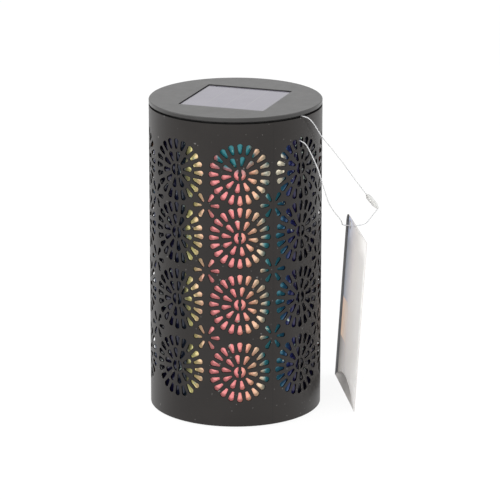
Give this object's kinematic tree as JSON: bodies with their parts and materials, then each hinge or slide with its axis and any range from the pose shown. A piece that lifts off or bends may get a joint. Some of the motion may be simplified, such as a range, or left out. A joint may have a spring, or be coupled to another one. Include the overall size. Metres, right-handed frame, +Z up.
{
  "type": "solar lantern",
  "caption": "Cylindrical table lantern with a perforated sheet-metal shell over an iridescent sleeve, and a lift-off lid that holds a solar panel, battery and lamp.",
  "frame": {"origin": "centre of the footprint, on the surface that the lantern stands on", "axes": "+Z up along the axis of the tube; the sides of the square solar panel are parallel to X and Y"},
  "size_m": [0.1057, 0.0937, 0.1504],
  "materials": {
    "shell_paint": "matte charcoal paint on rolled sheet steel",
    "iridescent_film": "glossy film that shifts from pink and peach to teal and indigo",
    "black_plastic": "moulded plastic, fine texture",
    "rubber": "soft black rubber",
    "lid_plastic": "satin grey, fine hairline texture",
    "board": "glass-fibre board with solder mask",
    "solar_cell": "dark silicon strips",
    "clear_resin": "clear cast resin, slightly hazy",
    "steel": "bright zinc-plated steel",
    "nickel": "nickel-plated spring sheet",
    "battery_wrap": "shrink-wrapped cell can",
    "lamp_resin": "clear lamp with yellow phosphor",
    "frosted_plastic": "frosted white plastic",
    "white_plastic": "plain white plastic",
    "nylon": "clear-white nylon",
    "card": "bare coated card"
  },
  "bodies": {
    "housing": {"perforated_shell": "shell_paint", "colour_sleeve": "iridescent_film", "foot_plug": "black_plastic", "rubber_feet": "rubber", "mouth_ring": "black_plastic", "tag_thread_upper": "nylon", "tag_thread_lower": "nylon", "tag_lock": "nylon", "hang_tag": "card"},
    "lid": {"lid_moulding": "lid_plastic", "lid_seal": "rubber", "panel_tape": "rubber", "panel_board": "board", "panel_cells": "solar_cell", "panel_glaze": "clear_resin", "module_cup": "black_plastic", "cup_screws": "steel", "battery_cell": "battery_wrap", "positive_contact": "nickel", "negative_contact": "nickel", "circuit_board": "board", "board_parts": "black_plastic", "lamp": "lamp_resin", "lamp_diffuser": "frosted_plastic", "switch_body": "steel"},
    "switch_knob": {"switch_knob": "white_plastic"}
  },
  "joints": [
    {"name": "lid_lift", "type": "slide", "parent": "housing", "child": "lid", "axis": [0, 0, 1], "range_m": [0, 0.06]},
    {"name": "switch_slide", "type": "slide", "parent": "lid", "child": "switch_knob", "axis": [1, 0, 0], "range_m": [0, 0.002]}
  ]
}
